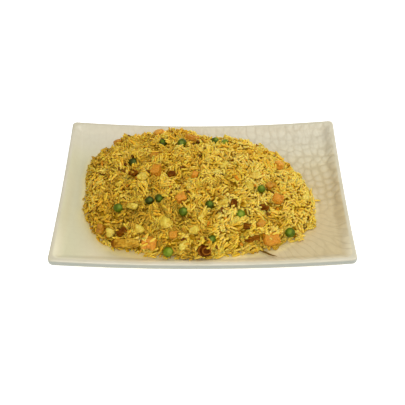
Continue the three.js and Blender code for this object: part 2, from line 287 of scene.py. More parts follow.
# %% [markdown]
# ## Small helpers for pieces
# A finished piece is a mesh whose object sits at the origin, rides on the body, takes its
# finish, and hides the solids that it stands for.

# %% Piece helpers
ROOT = "root"


def finished_piece(name, mesh, look, replaced):
    piece = put_in_scene(name, mesh)
    mesh.polygons.foreach_set("use_smooth", [True] * len(mesh.polygons))
    mesh.materials.clear()
    mesh.materials.append(look.material)
    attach(piece, ROOT)
    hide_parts(*replaced)
    print(name, "has", sum(len(p.vertices) - 2 for p in mesh.polygons), "triangles")


def mesh_points(mesh, key="co"):
    """The places of a mesh's points, or with the key "normal" their normals, as rows."""
    rows = np.empty(len(mesh.vertices) * 3)
    mesh.vertices.foreach_get(key, rows)
    return rows.reshape(-1, 3)


def set_points(mesh, points):
    mesh.vertices.foreach_set("co", points.ravel())
    mesh.update()


def add_values(mesh, name, values):
    """Stores one number for every point, for a material to read."""
    attribute = mesh.attributes.new(name, "FLOAT", "POINT")
    attribute.data.foreach_set("value", np.asarray(values, dtype=np.float32))


def smoothstep(t):
    t = np.clip(t, 0.0, 1.0)
    return t * t * (3.0 - 2.0 * t)


print("half way up a smooth step:", smoothstep(0.5))

# %% [markdown]
# ## The dish
# The real dish is moulded stoneware: a shallow trough whose floor climbs to all four sides,
# a steeper lip, and a rounded rim. Its top is a grid of small faces, closer together near
# the rim, that follow those rises. The rim, the underside and the foot are made by extruding
# the grid's outline again and again, as a potter would turn the edge over. The outline keeps
# its rounded corners, because every point moves straight out from an inner rectangle. A spin
# would give a round dish, and a bevelled block would not give the hollow.

# %% Sizes of the dish
HALF_X, HALF_Y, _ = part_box("plate")[1]
FLOOR_TOP = 9.0 * MM
END_RISE = 6.4 * MM
SIDE_RISE = 4.5 * MM
LIP_HEIGHT = 4.5 * MM
LIP_WIDTH = 13.0 * MM
CORNER = 4.5 * MM
WELL_CORNER = 10.0 * MM
RIM_TOP_WIDTH = 2.6 * MM
RIM_THICKNESS = 6.4 * MM
RIM_SOFTNESS = 1.8 * MM
RIM_ANGLES = (90.0, 67.5, 45.0, 22.5, 0.0)
FOOT_INSET = 27.0 * MM
# The foot ring in millimetres: how far inside its outer edge, and how high.
FOOT_RING = ((0.0, 5.0), (0.5, 0.6), (1.1, 0.0), (4.9, 0.0), (5.5, 0.6), (6.0, 4.4))
DISH_WALL = 5.0 * MM
DISH_STEP = 1.2 * MM


def floor_height(x, y):
    return FLOOR_TOP + END_RISE * (x / HALF_X) ** 2 + SIDE_RISE * (y / HALF_Y) ** 2


def inside_edge(x, y):
    """How far a point is inside the edge of the dish, round the corners too."""
    from_x = np.abs(x) - (HALF_X - WELL_CORNER)
    from_y = np.abs(y) - (HALF_Y - WELL_CORNER)
    straight = WELL_CORNER - np.maximum(from_x, from_y)
    corner = WELL_CORNER - np.hypot(from_x, from_y)
    return np.where((from_x > 0) & (from_y > 0), corner, straight)


def dish_top(x, y):
    climb = smoothstep((LIP_WIDTH - inside_edge(x, y)) / (LIP_WIDTH - RIM_TOP_WIDTH))
    return floor_height(x, y) + LIP_HEIGHT * climb


print("dish", round(2 * HALF_X, 3), "by", round(2 * HALF_Y, 3), "m")

# %% The outline of the dish
def flat_grid(half_x, half_y, step):
    """A flat grid from -1 to 1, with as many faces as a field of these sizes needs."""
    bm = bmesh.new()
    bmesh.ops.create_grid(bm, x_segments=round(2 * half_x / step),
                          y_segments=round(2 * half_y / step), size=1.0)
    return bm


def denser_outside(t):
    """Moves lines of an even grid from -1 to 1 so that they stand closer at its edges."""
    return 0.35 * t + 0.65 * t * (3.0 - t * t) / 2.0


def round_the_corners(bm, half_x, half_y, radius):
    """Bends the four square corners of a grid into quarter circles, keeping its faces."""
    for vert in bm.verts:
        u = (abs(vert.co.x) - (half_x - radius)) / radius
        v = (abs(vert.co.y) - (half_y - radius)) / radius
        if u > 0 and v > 0:
            disc_u = u * math.sqrt(1 - v * v / 2)
            disc_v = v * math.sqrt(1 - u * u / 2)
            vert.co.x = math.copysign(half_x - radius + radius * disc_u, vert.co.x)
            vert.co.y = math.copysign(half_y - radius + radius * disc_v, vert.co.y)


def push_out(co, distance):
    """The outline's point at this distance outside the corners' inner rectangle."""
    core = Vector((max(CORNER - HALF_X, min(HALF_X - CORNER, co.x)),
                   max(CORNER - HALF_Y, min(HALF_Y - CORNER, co.y))))
    return core + (Vector((co.x, co.y)) - core).normalized() * distance


def turn_edge(bm, edges, move, *amounts):
    """Extrudes the open outline and moves the new points with `move`."""
    made = bmesh.ops.extrude_edge_only(bm, edges=edges)["geom"]
    for vert in (g for g in made if isinstance(g, bmesh.types.BMVert)):
        vert.co = move(vert.co, *amounts)
    return [g for g in made if isinstance(g, bmesh.types.BMEdge)]


print("a line at 0.5 stands at", denser_outside(0.5))

# %% Making the dish
def rim_profile():
    """The rim from its top to below: how far inside the edge, and how far under the top."""
    rings = [(RIM_SOFTNESS * (1 - math.cos(angle)), RIM_SOFTNESS * (1 - math.sin(angle)))
             for angle in np.radians(RIM_ANGLES)]
    return rings + [(inset, RIM_THICKNESS - drop) for inset, drop in reversed(rings)]


def underside_profile():
    """The underside: how far inside the edge, and how high (None follows the dish)."""
    foot = [(FOOT_INSET + inset * MM, height * MM) for inset, height in FOOT_RING]
    return [(LIP_WIDTH, None), (FOOT_INSET - 1.2 * MM, None), *foot,
            (FOOT_INSET + 14.0 * MM, None)]


def rim_point(co, inset, drop):
    x, y = push_out(co, CORNER - inset)
    return Vector((x, y, float(floor_height(x, y)) + LIP_HEIGHT - drop))


def underside_point(co, shrink_x, shrink_y, height):
    x = co.x * shrink_x
    y = co.y * shrink_y
    under = float(floor_height(x, y)) - DISH_WALL
    return Vector((x, y, under if height is None else height))


def build_dish():
    half_x = HALF_X - RIM_TOP_WIDTH
    half_y = HALF_Y - RIM_TOP_WIDTH
    bm = flat_grid(half_x, half_y, DISH_STEP)
    for vert in bm.verts:
        vert.co.x = half_x * denser_outside(vert.co.x)
        vert.co.y = half_y * denser_outside(vert.co.y)
    round_the_corners(bm, half_x, half_y, CORNER - RIM_TOP_WIDTH)
    for vert in bm.verts:
        vert.co.z = float(dish_top(vert.co.x, vert.co.y))
    outline = [e for e in bm.edges if e.is_boundary]
    for inset, drop in rim_profile():
        outline = turn_edge(bm, outline, rim_point, inset, drop)
    reach = max(v.co.x for e in outline for v in e.verts)
    for inset, height in underside_profile():
        shrink_x = (HALF_X - inset) / reach
        shrink_y = (HALF_Y - inset) / (reach - HALF_X + HALF_Y)
        outline = turn_edge(bm, outline, underside_point, shrink_x, shrink_y, height)
        reach = HALF_X - inset
    bmesh.ops.edgeloop_fill(bm, edges=outline)
    bmesh.ops.recalc_face_normals(bm, faces=bm.faces)
    return as_mesh(bm, "plate_glazed")


plate_mesh = build_dish()
print("dish:", len(plate_mesh.polygons), "faces")

# %% [markdown]
# ## The glaze
# A thick cream glaze has pooled in the well, where it is yellower, and has run thin over the
# rim, which is paler. Under it the clay is moulded with a fine pattern of thin lines: round
# scales at the back right, upright ones along the back, and long curved rays at the front
# right. They fade out to the left. Cutting them into the mesh would need a million faces,
# so Voronoi cells draw them: the distance to the nearest cell's edge is both a thin darker
# line, where the glaze is thick, and a groove in the bump. The round scales are domes in the
# bump too, with a painted highlight on their tops and painted shade round their feet. Light
# and shade are painted into the glaze as well: the outer side of the rim is painted grey as
# shade, the back of the well paler as a painted reflection, and the front lip lighter as
# painted light. Round the foot of the heap the glaze is yellower and brighter, partly an
# oily film and partly painted light that lifts the heap's shadow, most at the front left.

# %% The pattern under the glaze
RELIEF_DEPTH = 0.2 * MM


def voronoi(look, feature, cells, **named):
    return look.node("ShaderNodeTexVoronoi", {"voronoi_dimensions": "2D", "feature": feature},
                     Vector=cells, Scale=1.0, Randomness=0.7, **named)


def groove(look, cells, width):
    """1 on the edges between cells, 0 inside them."""
    return 1.0 - voronoi(look, "DISTANCE_TO_EDGE", cells).between(0.0, width)


def bent_place(look):
    """The x and y of a place on the dish, shifted by noise so that no line looks ruled."""
    wobble = look.vector("SUBTRACT", look.noise(55.0, 1.0, out=1), (0.5, 0.5, 0.5))
    bent = look.vector("ADD", look.place(), look.vector("SCALE", wobble, Scale=0.007))
    return [look.node("ShaderNodeSeparateXYZ", None, bent, out=axis) for axis in (0, 1)]


def moulded_pattern(look, x, y):
    """The thin lines of the pattern, and the domes of its round scales."""
    def cells(across, along):
        return look.node("ShaderNodeCombineXYZ", None, across, along)

    scales = cells(x * 132.0, y * 118.0)
    upright = cells(x * 135.0, y * 55.0)
    from_x = x - 0.02
    from_y = y + 0.01
    angle = x.maths("ARCTAN2", from_y, from_x)
    distance = (from_x * from_x + from_y * from_y) ** 0.5
    rays = cells(angle * 15.0 + distance * 22.0, distance * 26.0)

    at_right = x.between(0.02, 0.085)
    at_back = y.between(0.052, 0.07)
    at_front = 1.0 - y.between(-0.045, 0.0)
    from_left = x.between(-0.12, 0.03) * 0.65 + 0.35
    scales_show = at_right * (1.0 - at_back * 0.4) * (1.0 - at_front * 0.7)
    domes = 1.0 - voronoi(look, "SMOOTH_F1", scales, Smoothness=0.2)
    # Besides the grooves, where the glaze pools, the lines hold painted shade round each dome's
    # foot.
    lines = ((groove(look, scales, 0.3) * 0.65 + domes.between(0.6, 0.42) * 0.6) * scales_show
             + groove(look, upright, 0.2) * at_back * from_left * 0.5
             + groove(look, rays, 0.14) * (at_right * at_front) * 0.8
             + groove(look, scales, 0.24) * (1.0 - at_right) * from_left * 0.35)
    return lines, domes * scales_show


print("the relief under the glaze is", RELIEF_DEPTH, "m deep")

# %% The glaze's material
GLAZE_WELL = (224, 215, 183)
GLAZE_POOLED = (217, 206, 168)
GLAZE_LEFT = (212, 208, 171)
# Painted reflection: the back of the well is paler.
GLAZE_BACK_REFLECTION = (220, 213, 190)
GLAZE_RIGHT = (205, 185, 138)
# Partly an oily film, partly painted light that lifts the shadow round the heap's foot.
GLAZE_OILED_LIT = (252, 238, 168)
# Painted light on the front lip, which faces away from the lamps.
GLAZE_LIP_LIT = (246, 238, 208)
GLAZE_RIM = (209, 201, 172)
GLAZE_RIM_BRIGHT = (218, 210, 186)
# Painted shade on the outer side of the rim.
GLAZE_SIDE_SHADE = (152, 154, 140)
GLAZE_LINE = (160, 140, 98)
LIP_START = 5.0 * MM
RIM_FADE = 1.8 * MM


def pooled_glaze(look, x, y):
    """The glaze in the well: a little different at each side, oily round the heap, with painted
    light in places.
    """
    at_right = x.between(-0.02, 0.11) * (1.0 - y.between(0.0, 0.062))
    pooled = look.ramp(look.noise(22.0, 4.0), (0.3, *GLAZE_POOLED), (0.7, *GLAZE_WELL))
    for share, tone in (
            (x.between(-0.09, -0.115) * 0.8, GLAZE_LEFT),
            # The back of the well is paler: a painted reflection.
            (y.between(0.035, 0.08) * 0.85, GLAZE_BACK_REFLECTION),
            (at_right * 0.9, GLAZE_RIGHT),
            # Round the heap's foot: partly an oily film, partly painted light that lifts its
            # shadow.
            (look.attribute("oil") * (0.8 - x.between(0.03, 0.09) * 0.45), GLAZE_OILED_LIT),
            # The front lip, which faces away from the lamps, is painted lighter: painted light.
            (look.attribute("lip") * y.between(-0.03, -0.08) * 0.6, GLAZE_LIP_LIT)):
        pooled = look.mix(share, pooled, tone)
    return pooled


def glaze_look():
    look = Look("glazed_stoneware", Coat_Weight=0.3, Coat_Roughness=0.12)
    x, y = bent_place(look)
    in_well = 1.0 - look.attribute("rim")
    lines, domes = (part * in_well for part in moulded_pattern(look, x, y))
    thin = look.ramp(look.noise(60.0), (0.3, *GLAZE_RIM), (0.7, *GLAZE_RIM_BRIGHT))
    colour = look.mix(in_well, thin, pooled_glaze(look, x, y))
    colour = look.mix(lines * 0.24, colour, GLAZE_LINE)
    # Painted highlight: the tops of the round scales are lighter.
    colour = look.mix(domes.between(0.5, 1.0) * 0.3, colour, GLAZE_RIM_BRIGHT)
    # Painted shade: the outer side of the rim is grey.
    colour = look.mix(look.attribute("side"), colour, GLAZE_SIDE_SHADE)
    height = look.noise(320.0, 2.0) * 0.06 - lines + domes * 3.0
    look.feed(Base_Color=colour, Roughness=look.noise(90.0) * 0.12 + 0.3,
              Normal=look.bump(height, RELIEF_DEPTH))
    return look


plate_x, plate_y, plate_z = mesh_points(plate_mesh).T
from_edge = inside_edge(plate_x, plate_y)
on_rim = 1.0 - smoothstep((from_edge - RIM_TOP_WIDTH) / RIM_FADE)
on_lip = 1.0 - smoothstep((from_edge - LIP_START) / (LIP_WIDTH - LIP_START))
under_crest = floor_height(plate_x, plate_y) + LIP_HEIGHT - plate_z
add_values(plate_mesh, "rim", on_rim)
add_values(plate_mesh, "lip", on_lip)
# The rim's outer side, where the painted shade goes.
add_values(plate_mesh, "side", on_rim * smoothstep(under_crest / RIM_SOFTNESS))
finished_piece("plate_glazed", plate_mesh, glaze_look(), ["plate"])

# %% [markdown]
# ## The ground that the rice falls on
# Fried rice is a heap of loose grains, so its surface is made as in a kitchen: grains are
# dropped one at a time and each comes to rest on those under it. Rigid-body physics for
# thousands of grains takes minutes. Here the heap is a height map seen from above: a grid of
# numbers that say how high the food stands. The solid of the heap gives the heights to
# reach, by rays that look straight down on it. Where a pea or a piece of carrot has its
# pocket in the solid, the surface is filled in from around it.

# %% Height maps
CELL = 0.5 * MM
MARGIN = 14.0 * MM
heap_low, heap_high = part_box("rice_heap")
map_x = np.arange(heap_low.x - MARGIN, heap_high.x + MARGIN, CELL)
map_y = np.arange(heap_low.y - MARGIN, heap_high.y + MARGIN, CELL)


def heights_over(name, columns, rows, start=0.2):
    """Where rays from this height first meet a solid, over these columns and rows, or nan."""
    mesh = NODES[name].data
    target = BVHTree.FromPolygons([v.co for v in mesh.vertices],
                                  [tuple(p.vertices) for p in mesh.polygons])
    way = Vector((0.0, 0.0, -1.0 if start > 0 else 1.0))
    heights = np.full((len(rows), len(columns)), np.nan)
    for i, row in enumerate(rows):
        for j, column in enumerate(columns):
            hit = target.ray_cast(Vector((map_x[column], map_y[row], start)), way)[0]
            if hit is not None:
                heights[i, j] = hit.z
    return heights


def blurred(field, width):
    """A map blurred by a Gaussian of this width in metres."""
    sigma = width / CELL
    across = np.fft.rfftfreq(field.shape[1])[None, :]
    along = np.fft.fftfreq(field.shape[0])[:, None]
    gain = np.exp(-2.0 * (math.pi * sigma) ** 2 * (across ** 2 + along ** 2))
    return np.fft.irfft2(np.fft.rfft2(field) * gain, s=field.shape)


def cloud(width, seed):
    """Smooth random hills and hollows of this width, about -2 to 2."""
    field = blurred(np.random.default_rng(seed).normal(size=(len(map_y), len(map_x))), width)
    return field / field.std()


def map_value(field, x, y):
    column = np.clip(np.rint((x - map_x[0]) / CELL).astype(int), 0, len(map_x) - 1)
    row = np.clip(np.rint((y - map_y[0]) / CELL).astype(int), 0, len(map_y) - 1)
    return field[row, column]


def from_spot(x, y, width, depth):
    """How far cells are from a spot, as a share of its width and depth in millimetres."""
    return np.hypot((map_x[None, :] / MM - x) / width, (map_y[:, None] / MM - y) / depth)


def soft_spot(x, y, width, depth):
    """1 in the middle of a spot, fading around it."""
    return np.exp(-from_spot(x, y, width, depth) ** 2)


print("height map:", len(map_x), "by", len(map_y), "cells")

# %% Where the food lies
# How far round its middle each topping is kept clear of rice, as a share of its half size.
KEPT_CLEAR = {"pea": 0.95, "carrot": 0.75, "egg": 0.6, "meat": 0.3}
KEPT_CLEAR_OF_ONE = {
    "pea": {1: 1.6, 2: 1.2, 3: 1.2, 4: 1.4, 5: 1.5, 6: 0.6, 8: 1.0, 9: 1.0, 12: 0.6, 13: 1.2,
            14: 1.2, 15: 1.15},
    "carrot": {2: 0.9, 9: 0.35, 10: 0.45, 14: 0.95},
    "egg": {1: 0.75, 3: 0.75, 4: 0.8, 11: 0.75},
    "meat": {1: 0.8, 2: 0.6, 3: 0.5, 7: 0.8, 9: 0.8}}
POCKET_EDGE = 1.2 * MM
# Where a few grains have slid onto the dish: middle, width and depth in millimetres.
SPILLS = ((83, -57, 7, 5), (96, -43, 5, 5))


def window(low, high, spread=0.0):
    """The rows and columns of the map that a box covers."""
    columns = np.flatnonzero((map_x > low.x - spread) & (map_x < high.x + spread))
    rows = np.flatnonzero((map_y > low.y - spread) & (map_y < high.y + spread))
    return rows, columns


coarse = heights_over("rice_heap", np.arange(0, len(map_x), 2), np.arange(0, len(map_y), 2))
seen = np.repeat(np.repeat(coarse, 2, axis=0), 2, axis=1)[:len(map_y), :len(map_x)]
dish = dish_top(map_x[None, :], map_y[:, None])
solid_there = np.isfinite(seen)
inside = solid_there.copy()
for spill in SPILLS:
    inside |= from_spot(*spill) < 1

topping_top = np.full(dish.shape, -1.0)
topping_bottom = np.full(dish.shape, 1.0)
topping_heart = np.zeros(dish.shape, dtype=bool)
pocket = np.zeros(dish.shape, dtype=bool)
for kind, names in PIECES.items():
    for number, name in enumerate(names, 1):
        low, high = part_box(name)
        rows, columns = window(low, high)
        here = np.ix_(rows, columns)
        topping_top[here] = np.fmax(topping_top[here], heights_over(name, columns, rows))
        from_below = heights_over(name, columns, rows, start=-0.01)
        topping_bottom[here] = np.fmin(topping_bottom[here], from_below)
        half = (high - low) / 2
        middle_x = (low.x + high.x) / 2
        front = (low.y + high.y) / 2 - 0.25 * half.y
        away = np.hypot((map_x[columns][None, :] - middle_x) / half.x,
                        (map_y[rows][:, None] - front) / half.y)
        topping_heart[here] |= away < KEPT_CLEAR_OF_ONE[kind].get(number, KEPT_CLEAR[kind])
        pocket[np.ix_(*window(low, high, POCKET_EDGE))] = True
print("kept clear for toppings:", round(float(topping_heart[inside].mean()), 3), "of the heap")

# %% Where the surface has to be
# Dents, or a rise where it is negative: middle, width and how much lower, in millimetres.
DENTS = ((64, 40, 10, 3.4), (-57, 64, 11, 2.6), (50, 55, 8, -1.5), (-37, 32, 6, 2.6),
         (12, 45, 6, 1.6), (21.5, 37, 6, 2.2))
CLUMP = 6.0 * MM
HUDDLE = 2.6 * MM
PIT = 1.7 * MM
PIT_DEPTH = 3.8 * MM
FULLY_HILLY = 8.0 * MM
FILLED_FROM = 4.0 * MM
SOFTENED = 1.8 * MM
OVER_TOPPINGS = 0.6 * MM
THINNEST = 1.6 * MM

known = solid_there & ~pocket
thick = np.where(known, seen - dish, 0.0)
filled = blurred(thick, FILLED_FROM) / np.maximum(blurred(known * 1.0, FILLED_FROM), 0.02)
thick = np.where(known, thick, np.where(inside, filled, 0.0))
thick = np.maximum(blurred(thick, SOFTENED), 0.0)
hills = 1.3 * MM * cloud(CLUMP, 3) + 1.5 * MM * cloud(HUDDLE, 4)
hills -= PIT_DEPTH * smoothstep((cloud(PIT, 11) - 0.9) / 0.8)
for x, y, width, lower in DENTS:
    hills -= lower * MM * soft_spot(x, y, width, width)
grown = smoothstep(thick / FULLY_HILLY)
goal = dish + thick + (hills - 0.9 * MM) * grown
within = blurred(inside * 1.0, 1.6 * MM)
ceiling = np.maximum(goal, np.where(topping_top > 0, topping_top + OVER_TOPPINGS, 0.0))
ceiling = np.maximum(ceiling, dish + np.where(within > 0.3, THINNEST, 0.0))
print("heap stands", round(float(thick.max()), 4), "m over the dish")

# %% Where an oily film has run out on the glaze, and painted light lifts the heap's shadow
OIL_AND_LIGHT_REACH = 4.0 * MM
SHADOW_LIFT_REACH_FRONT_LEFT = 9.0 * MM

# Most of the lift is at the front left, where the heap would cast its shadow: painted light.
front_left_lift = smoothstep(-map_y / (30.0 * MM))[:, None] * smoothstep(0.6 - map_x / (50.0 * MM))
spread = np.maximum(2.4 * blurred(solid_there * 1.0, OIL_AND_LIGHT_REACH),
                    1.5 * blurred(solid_there * 1.0, SHADOW_LIFT_REACH_FRONT_LEFT) * front_left_lift)
oil = map_value(smoothstep(spread), plate_x, plate_y)
add_values(plate_mesh, "oil", oil)
print("oil on", round(float((oil > 0.1).mean()), 2), "of the dish's points")

# %% [markdown]
# ## The core of the heap
# Deep inside nobody sees single grains, so a closed core fills the heap and only its skin is
# made of loose ones. The core is a grid that keeps the cells inside the heap, is pushed up
# to a few millimetres under the surface, and is then extruded down to the dish. It has the
# colour of the shade between grains: deep gold to brown.

# %% How deep the core lies
SKIN = 3.2 * MM


def sunk(field, depth):
    """A surface this far under another one, measured square to it."""
    reach = int(depth / CELL)
    lowest = np.full(field.shape, np.inf)
    for row in range(-reach, reach + 1):
        for column in range(-reach, reach + 1):
            left = depth ** 2 - (row ** 2 + column ** 2) * CELL ** 2
            if left >= 0:
                moved = np.roll(field, (row, column), axis=(0, 1))
                lowest = np.minimum(lowest, moved - math.sqrt(left))
    return lowest


far_in = smoothstep(blurred(inside * 1.0, 5.0 * MM) / 0.42 - 1.3)
core_room = sunk(goal, SKIN) + 0.4 * MM * cloud(1.6 * MM, 9) - 11.0 * MM * (1.0 - far_in)
core_shows = core_room > dish + 0.8 * MM
print("the core fills", round(float(core_shows[inside].mean()), 2), "of the heap's ground")

# %% Making the core
CORE_STEP = 1.0 * MM
CORE_CLEAR = 0.3 * MM
CORE_LEAST = 0.3 * MM
CORE_DARK = (146, 104, 0)
CORE_MIDDLE = (184, 140, 14)
CORE_LIGHT = (212, 172, 44)


def islands_off(bm):
    """Keeps the biggest connected part of a mesh."""
    left = set(bm.faces)
    parts = []
    while left:
        part = set()
        edge = [left.pop()]
        while edge:
            face = edge.pop()
            part.add(face)
            near = {f for e in face.edges for f in e.link_faces} & left
            left -= near
            edge.extend(near)
        parts.append(part)
    parts.sort(key=len)
    crumbs = [f for part in parts[:-1] for f in part]
    bmesh.ops.delete(bm, geom=crumbs, context="FACES")


def build_core():
    half_x = (map_x[-1] - map_x[0]) / 2
    half_y = (map_y[-1] - map_y[0]) / 2
    middle = Vector(((map_x[0] + map_x[-1]) / 2, (map_y[0] + map_y[-1]) / 2, 0.0))
    bm = flat_grid(half_x, half_y, CORE_STEP)
    bmesh.ops.scale(bm, verts=bm.verts, vec=(half_x, half_y, 1.0))
    bmesh.ops.translate(bm, verts=bm.verts, vec=middle)
    outside = [f for f in bm.faces if not map_value(core_shows, *f.calc_center_median()[:2])]
    bmesh.ops.delete(bm, geom=outside, context="FACES")
    islands_off(bm)
    made = bmesh.ops.extrude_face_region(bm, geom=bm.faces[:])["geom"]
    upper = {g for g in made if isinstance(g, bmesh.types.BMVert)}
    for vert in bm.verts:
        floor = float(dish_top(vert.co.x, vert.co.y)) + CORE_CLEAR
        room = float(map_value(core_room, vert.co.x, vert.co.y))
        vert.co.z = max(room, floor + CORE_LEAST) if vert in upper else floor
    bmesh.ops.recalc_face_normals(bm, faces=bm.faces)
    return as_mesh(bm, "rice_core")


def core_look():
    look = Look("rice_shade", Specular_IOR_Level=0.05)
    colour = look.ramp(look.noise(420.0, 2.0), (0.3, *CORE_DARK), (0.5, *CORE_MIDDLE),
                       (0.72, *CORE_LIGHT))
    return look.dress(colour, (200.0, 0.2, 0.6), (500.0, 2.0, 1.2 * MM))


finished_piece("rice_core", build_core(), core_look(), ["rice_heap"])

# %% [markdown]
# ## One grain and one crumb
# A cooked long grain is about 7 to 8 mm long and a little over 2 mm thick, blunter than a
# spindle and hardly bent. A sphere of few faces is drawn out to that shape, in 16
# variations. They all share one set of faces, so they can be joined later by simple sums.
# Each keeps the sphere's UV map, so that every grain can get a place of its own on one
# texture. Crumbs of egg, carrot and meat are shorter, fatter and lumpier, and come from the
# same recipe.

# %% Grain and crumb shapes
GRAIN_SIDES = 6
GRAIN_RINGS = 6
VARIATIONS = 16


def grain_shape(random, bend, rough):
    """A grain along X, of length 1 and radius 1, with its own bend, taper and lumps."""
    bm = bmesh.new()
    bm.loops.layers.uv.new("OFBake")
    bmesh.ops.create_uvsphere(bm, u_segments=GRAIN_SIDES, v_segments=GRAIN_RINGS, radius=1.0,
                              calc_uvs=True)
    bow = random.uniform(-bend, bend)
    blunt = random.uniform(0.5, 0.8)
    lean = random.uniform(-0.2, 0.2)
    flat = random.uniform(0.75, 1.0)
    for vert in bm.verts:
        x, y, z = vert.co
        width = math.sqrt(max(1.0 - z * z, 0.0))
        swell = width ** blunt / width if width > 1e-4 else 0.0
        swell *= (1.0 + lean * z) * random.uniform(1.0 - rough, 1.0 + rough)
        vert.co = Vector((z * 0.5, x * swell, y * swell * flat + bow * (z * z - 0.35)))
    return as_mesh(bm, "grain")


def shape_set(seed, bend, rough):
    """Variations of one kind: the points of each, and the faces and UVs that they share."""
    random = np.random.default_rng(seed)
    meshes = [grain_shape(random, bend, rough) for _ in range(VARIATIONS)]
    points = np.array([mesh_points(m) for m in meshes])
    faces = [tuple(p.vertices) for p in meshes[0].polygons]
    uv = np.array([d.uv[:] for d in meshes[0].uv_layers["OFBake"].data])
    for mesh in meshes:
        bpy.data.meshes.remove(mesh)
    return points, faces, uv


GRAIN_SHAPES = shape_set(71, 0.5, 0.07)
CRUMB_SHAPES = shape_set(72, 0.2, 0.26)
print("grain:", len(GRAIN_SHAPES[1]), "faces, in", VARIATIONS, "variations")

# %% [markdown]
# ## Letting the grains settle
# A grain that lands on uneven ground comes to rest on two points, one on each side of its
# middle. Of all straight lines over the ground under it, that is the one that is lowest in
# the middle, and it is found by trying a fan of slopes. The grain's own top is then stamped
# on the map, for the next grain to lie on. A quarter of the grains are stuck in the heap at
# a slant instead, as sticky rice does. None is dropped on the middle of a pea. A grain that
# would lie with an end outside the heap or rise too far above it is left out, which keeps
# the pits between clumps open. Crumbs fall when most of the rice lies, so that the last
# grains half cover them.

# %% How a grain comes to rest
GRAIN = {"length": 7.1 * MM, "radius": 0.98 * MM, "spread": 0.24, "slanted": 0.25}
CRUMB = {"length": 4.4 * MM, "radius": 1.2 * MM, "spread": 0.3, "slanted": 0.0}
FLECK = {"length": 3.4 * MM, "radius": 0.85 * MM, "spread": 0.3, "slanted": 0.0}
SLOPES = np.tan(np.radians(np.arange(-50.0, 51.0, 7.1)))
FEELERS = np.linspace(-0.45, 0.45, 9)
FLANKS = np.array([-0.6, 0.0, 0.6])
ENDS = np.array([-0.5, 0.5])
NEAR_ENDS = np.array([-0.35, 0.0, 0.35])
SLANT = (0.3, 0.85)
DEEPEST_FOOT_MM = 1.6
PROUD = 1.15 * MM
PROUD_SLANTED = 1.6 * MM
ENDS_PROUD = 1.5 * MM


class Falling:
    """A grain on its way down: its middle and direction seen from above, and its size."""

    def __init__(self, x, y, yaw, length, radius):
        self.x, self.y = x, y
        self.way_x, self.way_y = math.cos(yaw), math.sin(yaw)
        self.length, self.radius = length, radius

    def places(self, along, side=0.0):
        """The x and y of places along the grain and beside it."""
        return (self.x + along * self.way_x - side * self.way_y,
                self.y + along * self.way_y + side * self.way_x)

    def hangs_out(self):
        """Whether an end would lie outside the heap."""
        return map_value(within, *self.places(ENDS * self.length)).min() < 0.25

    def lie_down(self, ground):
        """Rests the grain on what is under its middle and its flanks."""
        along = FEELERS * self.length
        side = FLANKS[:, None] * self.radius
        under = map_value(ground, *self.places(along, side)).max(axis=0)
        heights = (under - SLOPES[:, None] * along).max(axis=1)
        best = heights.argmin()
        self.z, self.slope = heights[best] + 0.8 * self.radius, SLOPES[best]

    def stick_in(self, ground, random):
        """Sticks the grain's lower end in the heap."""
        self.slope = math.tan(random.uniform(*SLANT))
        half = self.length / math.hypot(1.0, self.slope) / 2
        foot = self.places(-half)
        deep = map_value(ground, *foot) - random.uniform(0.0, DEEPEST_FOOT_MM) * MM
        self.z = max(deep, dish_top(*foot) + self.radius) + self.slope * half

    def stands_proud(self, ceiling, slanted):
        """Whether the grain would rise above the heap there, at its middle or near an end."""
        room = (PROUD_SLANTED if slanted else PROUD) - self.radius
        along = NEAR_ENDS * self.length
        rise = 0.0 if slanted else self.slope * along
        over = self.z + rise - map_value(ceiling, *self.places(along))
        return over[1] > room or over.max() > room + ENDS_PROUD

    def stamp(self, ground):
        """Raises the ground to the top of the grain."""
        tilt = math.hypot(1.0, self.slope)
        flat = self.length / tilt
        reach = int((flat / 2 + self.radius) / CELL) + 1
        column = int(round((self.x - map_x[0]) / CELL))
        row = int(round((self.y - map_y[0]) / CELL))
        columns = slice(max(column - reach, 0), column + reach + 1)
        rows = slice(max(row - reach, 0), row + reach + 1)
        dx = map_x[columns][None, :] - self.x
        dy = map_y[rows][:, None] - self.y
        along = dx * self.way_x + dy * self.way_y
        across = dy * self.way_x - dx * self.way_y
        ends = np.clip(1.0 - (2.0 * along / flat) ** 4, 0.0, 1.0)
        room = ends * self.radius ** 2 - across ** 2
        top = self.z + self.slope * along + np.sqrt(np.maximum(room, 0.0)) * tilt
        patch = ground[rows, columns]
        ground[rows, columns] = np.where(room > 0, np.maximum(patch, top), patch)


print("a grain tries", len(SLOPES), "slopes, and feels the ground", len(FEELERS), "times")

# %% Letting them fall
STRAYS = 0.03
YAW_SPREAD = 0.42
LENGTHS = (0.4, 1.35)
THICKNESSES = (0.82, 1.15)
DEEPEST_LACK = 2.5 * MM
BATCH = 460
grain_way = 1.8 * cloud(4.5 * MM, 21)
fall_y, fall_x = np.gradient(blurred(goal, 1.5 * MM), CELL)
steep = 1.0 + fall_x ** 2 + fall_y ** 2


